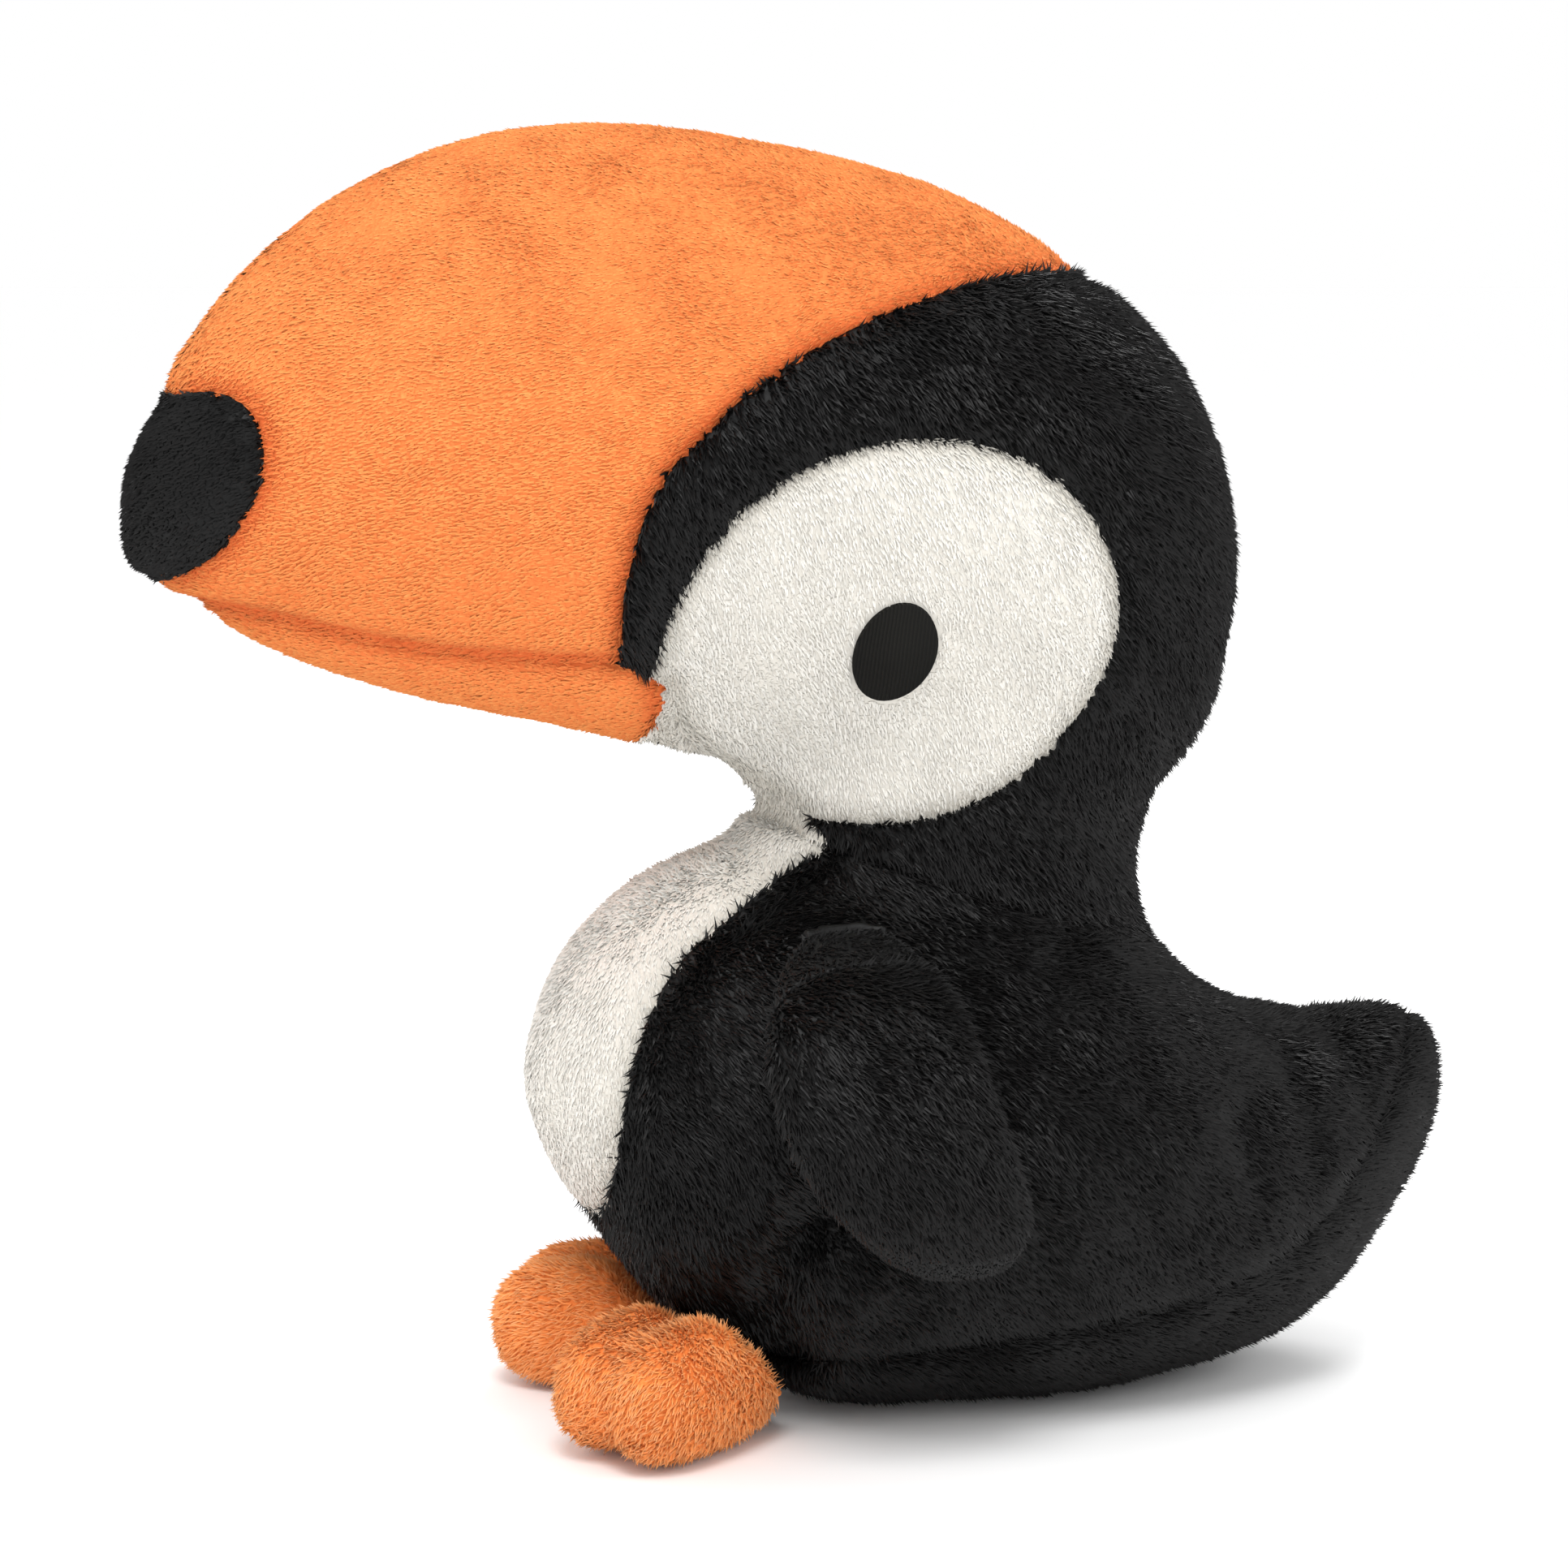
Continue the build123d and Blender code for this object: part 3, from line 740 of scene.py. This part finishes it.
def finish_panel(panel, kind, body, nodes, length, nap, tousle, seed):
    """Plant a panel's pile, give it its fabric and tie it to the frame."""
    plant_pile(panel, spike(), sizes().thick, length, LAYS[kind], nap, tousle, sizes().seed + seed)
    points = coordinates(panel.data)
    points[:, 2] = points[:, 2].clip(0)  # pile lies flat on the floor
    put(panel.data, points)
    panel.data.materials.clear()
    panel.data.materials.append(fabric(kind))
    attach(panel, body)
    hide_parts(*nodes)


def area_left_of(line):
    """The closed area on the beak's side of a seam that runs from the top down to its lower end."""
    far = 1.0
    return np.vstack([line, [[line[-1][0], -far], [-far, -far], [-far, far], [line[0][0], far]]])


def area_below(line):
    """The closed area under a seam that runs along the object."""
    far = 1.0
    return np.vstack([line, [[line[-1][0], -far], [line[0][0], -far]]])


def area_before(line):
    """The closed area in front of a seam that runs from the top down."""
    far = 1.0
    return np.vstack([line, [[-far, line[-1][1]], [-far, far], [line[0][0], far]]])


def make_filling(name, nodes, body, voxel, inset):
    """The fibre inside a form, in the space of its CAD stuffing."""
    filling = form_of(name, nodes, voxel, 2, inset)
    spots = coordinates(filling.data)
    middle = spots.mean(axis=0)
    put(filling.data, middle + (spots - middle) * FILLING_SCALE)
    filling.data.materials.append(fibre())
    for face in filling.data.polygons:
        face.use_smooth = True
    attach(filling, body)
    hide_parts(*nodes)
    return filling


class TOUCAN_OT_head(Operator):
    """Sew the head and beak: beak, tip, jaw, throat, eye patches and black head panels"""

    bl_idname = "toucan.head"
    bl_label = "Head and beak"

    def execute(self, context):
        s = sizes()
        form = form_of("head_form", HEAD_NODES + BODY_NODES, s.weave, 5, s.room)
        bm = bmesh.new()
        bm.from_mesh(form.data)
        near = [v for v in bm.verts if (v.co - NECK_AT).length < NECK_REACH]
        held = set(near)
        geom = near + [e for e in bm.edges if all(v in held for v in e.verts)]
        geom += [f for f in bm.faces if all(v in held for v in f.verts)]
        seam_at = NECK_AT + NECK_UP * NECK_SEAM
        bmesh.ops.bisect_plane(bm, geom=geom, plane_co=seam_at, plane_no=NECK_UP, dist=1e-5)
        gone = []
        for face in bm.faces:
            middle = face.calc_center_median()
            run = middle - NECK_AT
            if run.length < NECK_REACH - 2 * MM:
                above = run.dot(NECK_UP) > NECK_SEAM
            else:
                above = middle.z > HEAD_ABOVE
            if not above:
                gone.append(face)
        bmesh.ops.delete(bm, geom=gone, context="FACES")
        drop_inner(bm)
        bm.to_mesh(form.data)
        bm.free()
        if not form.data.polygons:
            raise RuntimeError("the head form came out empty")
        beak = smooth_line([head_point(*p) for p in BEAK_SEAM])
        mouth = smooth_line([head_point(*p) for p in MOUTH_SEAM])
        throat = smooth_line([head_point(*p) for p in THROAT_SEAM])
        eye, pupil, tip = oval_line(EYE_OVAL), oval_line(PUPIL_OVAL), oval_line(TIP_OVAL)
        points = coordinates(form.data)
        far = seam_distance(points, [beak, mouth, throat, eye])
        stuff(form, far, BLOW, 1.6 * MM)
        smoother(form, 1)
        lines = [beak, mouth, throat, eye, tip]
        sink_seams(form, [beak, throat, eye, tip], s.seam_depth, s.seam_width)
        sink_seams(form, [mouth], 1.6 * s.seam_depth, 0.8 * s.seam_width)
        tuck = smooth_line([head_point(*p) for p in THROAT_TUCK])
        sink_seams(form, [tuck], 2 * s.seam_depth, 1.4 * s.seam_width)
        snap_to_seams(form, lines, 0.6 * MM)
        middles = face_middles(form.data)
        spots = middles[:, [0, 2]]
        in_tip = inside(tip, spots)
        in_jaw = inside(area_below(mouth), spots) & ~in_tip
        in_beak = inside(area_left_of(beak), spots) & ~in_tip & ~in_jaw
        in_throat = inside(area_before(throat), spots) & (spots[:, 1] < throat[0][1])
        in_throat &= ~(in_tip | in_jaw | in_beak)
        in_eye = inside(eye, spots) & ~in_beak & ~in_jaw & ~in_throat
        in_head = ~(in_tip | in_jaw | in_beak | in_throat | in_eye)
        middle = pupil.mean(axis=0)
        bare = inside(middle + (pupil - middle) * BARE_AROUND_PUPIL, spots)
        panels = [
            ("beak_lower", in_jaw, "orange", s.pile, (-0.9, 0, 0.1), 0.22),
            ("throat", in_throat, "white", s.pile, (-0.2, 0, -0.9), 0.3),
        ]
        for side, sign in SIDES:
            half = middles[:, 1] * sign > 0
            panels += [
                (f"beak_upper_{side}", in_beak & half, "orange", s.pile, (-0.95, 0, -0.2), 0.22),
                (f"beak_tip_{side}", in_tip & half, "black", s.pile, (-0.8, 0, -0.4), 0.25),
                (f"eye_patch_{side}", in_eye & half, "white", s.pile, (0.3, 0, -0.8), 0.22),
                (f"head_{side}", in_head & half, "black", s.black_pile, (0.5, 0, -0.9), 0.35),
            ]
        for seed, (name, mine, kind, length, nap, tousle) in enumerate(panels):
            panel = cut_panel(form, f"sewn_{name}", mine, s.cloth, bare)
            finish_panel(panel, kind, "head", [name], length, nap, tousle, seed * 10)
        bpy.data.objects.remove(form)
        make_filling("head_filling", ["head_stuffing", "beak_stuffing"], "head", 2 * s.weave, 0.0035)
        make_filling("neck_filling", ["neck_stuffing"], "neck", s.weave, 0.001)
        return {"FINISHED"}


class TOUCAN_OT_pupils(Operator):
    """Embroider the pupils on the eye patches"""

    bl_idname = "toucan.pupils"
    bl_label = "Pupils"

    def execute(self, context):
        thread = satin_stitch("satin_stitch", colours().pupil, sizes().thread)
        for side, sign in SIDES:
            bm = bmesh.new()
            bmesh.ops.create_circle(bm, cap_ends=True, radius=1, segments=40)
            bm.faces.ensure_lookup_table()
            for _ in range(PUPIL_RINGS):
                core = [face for face in bm.faces if len(face.verts) > 4]
                bmesh.ops.inset_region(bm, faces=core, thickness=1 / (PUPIL_RINGS + 1), use_even_offset=True)
            at, wide, tall, turn = PUPIL_OVAL
            middle = head_point(*at)
            c, s = math.cos(math.radians(turn)), math.sin(math.radians(turn))
            sewn = bpy.data.objects[f"sewn_eye_patch_{side}"].data
            skin = BVHTree.FromPolygons([v.co for v in sewn.vertices], [f.vertices for f in sewn.polygons])
            for vert in bm.verts:
                x, z = vert.co.x * wide / 2, vert.co.y * tall / 2
                spot = Vector((middle[0] + x * c - z * s, sign * 0.2, middle[1] + x * s + z * c))
                place, normal, _, _ = skin.ray_cast(spot, Vector((0, -sign, 0)))
                if place is None:
                    raise RuntimeError("the pupil misses the eye patch")
                dome = 1 - min(1, vert.co.length) ** 4
                vert.co = place + normal * PUPIL_RISE * (1 + dome)
            bmesh.ops.recalc_face_normals(bm, faces=bm.faces)
            if sum(f.normal.y * sign for f in bm.faces) < 0:
                bmesh.ops.reverse_faces(bm, faces=bm.faces)
            bmesh.ops.solidify(bm, geom=bm.faces[:], thickness=0.0015)
            for face in bm.faces:
                face.smooth = True
            mesh = bpy.data.meshes.new(f"stitched_pupil_{side}")
            bm.to_mesh(mesh)
            bm.free()
            made = add_object(f"stitched_pupil_{side}", mesh)
            made.data.materials.append(thread)
            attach(made, "head")
            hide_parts(f"pupil_{side}")
        return {"FINISHED"}


class TOUCAN_OT_body(Operator):
    """Sew the body: bib, side panels and base gusset, with the stuffing and the bean pouch inside"""

    bl_idname = "toucan.body"
    bl_label = "Body"

    def execute(self, context):
        s = sizes()
        form = form_of("body_form", BODY_NODES, s.weave, 5, s.room)
        bib = smooth_line([body_point(*p) for p in BIB_SEAM])
        base = smooth_line([body_point(*p) for p in BASE_SEAM])
        points = coordinates(form.data)
        stuff(form, seam_distance(points, [bib, base]), BLOW, 1.6 * MM)
        smoother(form, 1)
        points = coordinates(form.data)
        above, near = up_neck(points)
        sunk = np.clip((above + 0.001) / 0.004, 0, 1) * near * 2.4 * MM
        toward = np.array(NECK_AT) - points
        points += toward / np.linalg.norm(toward, axis=1, keepdims=True) * sunk[:, None]
        points[:, 2] = points[:, 2].clip(FLOOR_GAP)
        put(form.data, points)
        sink_seams(form, [bib, base], s.seam_depth, s.seam_width)
        sink_seams(form, [smooth_line(LEG_DART)], 3.2 * s.seam_depth, 2 * s.seam_width)
        sink_seams(form, [smooth_line(tuck) for tuck in TAIL_TUCKS], 1.1 * s.seam_depth, 1.5 * s.seam_width)
        snap_to_seams(form, [bib, base], 0.6 * MM)
        middles = face_middles(form.data)
        spots = middles[:, [0, 2]]
        in_bib = inside(area_before(bib), spots)
        in_base = inside(area_below(base), spots) & ~in_bib
        above, near = up_neck(middles)
        bare = (near & (above > 0.014)) | (middles[:, 2] < BARE_BELOW)
        panels = [
            ("bib", in_bib, "white", s.pile, (0.1, 0, -0.9), 0.25),
            ("base_gusset", in_base, "black", s.black_pile, (0.9, 0, -0.1), 0.3),
        ]
        for side, sign in SIDES:
            mine = ~in_bib & ~in_base & (middles[:, 1] * sign > 0)
            panels.append((f"body_{side}", mine, "black", s.black_pile, (0.75, 0, -0.65), 0.35))
        for seed, (name, mine, kind, length, nap, tousle) in enumerate(panels):
            panel = cut_panel(form, f"sewn_{name}", mine, s.cloth, bare)
            finish_panel(panel, kind, "torso", [name], length, nap, tousle, 200 + seed * 10)
        bpy.data.objects.remove(form)
        make_filling("body_filling", ["body_stuffing"], "torso", 2 * s.weave, 0.004)
        pouch = cloth_back("cotton_pouch", colours().pouch, 0.0008)
        pellets = moulded_pellets("pe_pellets", colours().pellets)
        for node, look in (("bean_pouch", pouch), ("bean_pellets", pellets)):
            for index in range(max(1, len(frame["nodes"][node].material_slots))):
                frame["nodes"][node].material_slots[index].link = "OBJECT"
                frame["nodes"][node].material_slots[index].material = look
        return {"FINISHED"}


class TOUCAN_OT_wings(Operator):
    """Sew the wings: an outer and an inner panel each, round a little fibre"""

    bl_idname = "toucan.wings"
    bl_label = "Wings"

    def execute(self, context):
        s = sizes()
        for side, sign in SIDES:
            nodes = [f"wing_{part}_{side}" for part in ("outer", "inner", "stuffing")]
            form = form_of(f"wing_form_{side}", nodes, s.small_weave, 4, s.room / 2)
            points = coordinates(form.data)
            middle = points.mean(0)
            # the seam runs round the wing's edge, where its thin direction turns over
            thin = np.linalg.svd(points - middle, full_matrices=False)[2][2]
            thin *= np.sign(thin[1]) * sign
            out = (points - middle) @ thin
            stuff(form, np.abs(out) + 0.8 * MM, BLOW, 1.0 * MM, 10)
            smoother(form, 1)
            middles = face_middles(form.data)
            outer = (middles - middle) @ thin > 0
            for part, mine, seed in (("outer", outer, 300), ("inner", ~outer, 340)):
                panel = cut_panel(form, f"sewn_wing_{part}_{side}", mine, s.cloth)
                length = s.black_pile if part == "outer" else s.pile * 0.7
                nap = (0.5, 0, -0.85)
                node = f"wing_{part}_{side}"
                finish_panel(panel, "black", f"wing_{side}", [node], length, nap, 0.35, seed + sign)
            bpy.data.objects.remove(form)
            stuffing = [f"wing_stuffing_{side}"]
            make_filling(f"wing_filling_{side}", stuffing, f"wing_{side}", s.small_weave, 0.0012)
        return {"FINISHED"}


class TOUCAN_OT_feet(Operator):
    """Sew the feet: two-lobed uppers and soles, round a little fibre"""

    bl_idname = "toucan.feet"
    bl_label = "Feet"

    def execute(self, context):
        s = sizes()
        for side, sign in SIDES:
            nodes = [f"foot_{part}_{side}" for part in ("upper", "sole", "stuffing")]
            form = form_of(f"foot_form_{side}", nodes, s.small_weave, 4, s.room)
            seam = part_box(f"foot_upper_{side}")[0].z
            points = coordinates(form.data)
            stuff(form, np.abs(points[:, 2] - seam), BLOW, 1.2 * MM, 10)
            smoother(form, 1)
            points = coordinates(form.data)
            points[:, 2] = points[:, 2].clip(FLOOR_GAP)
            put(form.data, points)
            middles = face_middles(form.data)
            upper = middles[:, 2] > seam
            bare = middles[:, 2] < BARE_BELOW
            for part, mine, seed in (("upper", upper, 400), ("sole", ~upper, 440)):
                panel = cut_panel(form, f"sewn_foot_{part}_{side}", mine, s.cloth, bare)
                nap = (-0.6, 0.3 * sign, -0.4)
                node = f"foot_{part}_{side}"
                finish_panel(panel, "foot", f"foot_{side}", [node], s.foot_pile, nap, 0.4, seed + sign)
            bpy.data.objects.remove(form)
            stuffing = [f"foot_stuffing_{side}"]
            make_filling(f"foot_filling_{side}", stuffing, f"foot_{side}", s.small_weave, 0.0016)
        return {"FINISHED"}


LENS = 85  # millimetres
CAMERA_AZIMUTH, CAMERA_ELEVATION = -18, 8  # degrees, seen from the bird's left
CAMERA_AIM = Vector((-0.0296, 0, 0.105))
CAMERA_DISTANCE = 0.614


class TOUCAN_OT_stage(Operator):
    """Set up the floor, the studio light and the camera"""

    bl_idname = "toucan.stage"
    bl_label = "Stage"

    def execute(self, context):
        scene = context.scene
        scene.view_settings.view_transform = "Standard"
        world = bpy.data.worlds.new("Studio")
        world.use_nodes = True
        sky = world.node_tree.nodes["Background"]
        sky.inputs["Color"].default_value = (1, 1, 1, 1)
        sky.inputs["Strength"].default_value = 1.0
        scene.world = world
        bm = bmesh.new()
        bmesh.ops.create_circle(bm, cap_ends=True, radius=30.0, segments=96)
        mesh = bpy.data.meshes.new("floor")
        bm.to_mesh(mesh)
        bm.free()
        floor = add_object("floor", mesh)
        made, _, shader = material("pale_floor")
        shader.inputs["Base Color"].default_value = (1, 1, 1, 1)
        shader.inputs["Roughness"].default_value = 0.8
        mesh.materials.append(made)
        middle = (Vector(CAD_BOX[0]) + Vector(CAD_BOX[1])) / 2
        for name, place, power, size in (
            ("key", (-0.3, -0.55, 1.1), 7.0, 0.45),
            ("fill", (0.9, -0.6, 0.7), 2.5, 0.5),
            ("rim", (0.5, 0.6, 1.0), 5.0, 0.5),
        ):
            light = bpy.data.lights.new(name, "AREA")
            light.energy = power
            light.size = size
            lamp = bpy.data.objects.new(name, light)
            scene.collection.objects.link(lamp)
            lamp.location = place
            lamp.rotation_euler = (middle - Vector(place)).to_track_quat("-Z", "Y").to_euler()
        camera = bpy.data.cameras.new("camera")
        camera.lens = LENS
        camera.clip_start = 0.01
        eye = bpy.data.objects.new("camera", camera)
        scene.collection.objects.link(eye)
        azimuth, elevation = math.radians(CAMERA_AZIMUTH), math.radians(CAMERA_ELEVATION)
        level = Vector((math.sin(azimuth), -math.cos(azimuth), 0))
        back = level * math.cos(elevation) + Vector((0, 0, math.sin(elevation)))
        eye.location = CAMERA_AIM + back * CAMERA_DISTANCE
        eye.rotation_euler = (-back).to_track_quat("-Z", "Y").to_euler()
        scene.camera = eye
        return {"FINISHED"}


class TOUCAN_PT_panel(Panel):
    """The toucan's pieces and settings"""

    bl_idname = "TOUCAN_PT_panel"
    bl_label = "Toucan"
    bl_space_type = "VIEW_3D"
    bl_region_type = "UI"
    bl_category = "Toucan"

    def draw(self, context):
        for operator in OPERATORS:
            self.layout.operator(operator.bl_idname)
        for settings in (context.scene.toucan_sizes, context.scene.toucan_colours):
            for key in settings.bl_rna.properties.keys():
                if key not in ("rna_type", "name"):
                    self.layout.prop(settings, key)


OPERATORS = (
    TOUCAN_OT_head, TOUCAN_OT_pupils, TOUCAN_OT_body, TOUCAN_OT_wings, TOUCAN_OT_feet, TOUCAN_OT_stage,
)
CLASSES = (ToucanSizes, ToucanColours, *OPERATORS, TOUCAN_PT_panel)


def register():
    """Register the classes and the settings."""
    for cls in CLASSES:
        bpy.utils.register_class(cls)
    bpy.types.Scene.toucan_sizes = PointerProperty(type=ToucanSizes)
    bpy.types.Scene.toucan_colours = PointerProperty(type=ToucanColours)


def unregister():
    """Undo register."""
    del bpy.types.Scene.toucan_sizes
    del bpy.types.Scene.toucan_colours
    for cls in reversed(CLASSES):
        bpy.utils.unregister_class(cls)


def main():
    """Build everything."""
    register()
    bpy.ops.toucan.head()
    bpy.ops.toucan.pupils()
    bpy.ops.toucan.body()
    bpy.ops.toucan.wings()
    bpy.ops.toucan.feet()
    bpy.ops.toucan.stage()


if __name__ == "__main__":
    main()
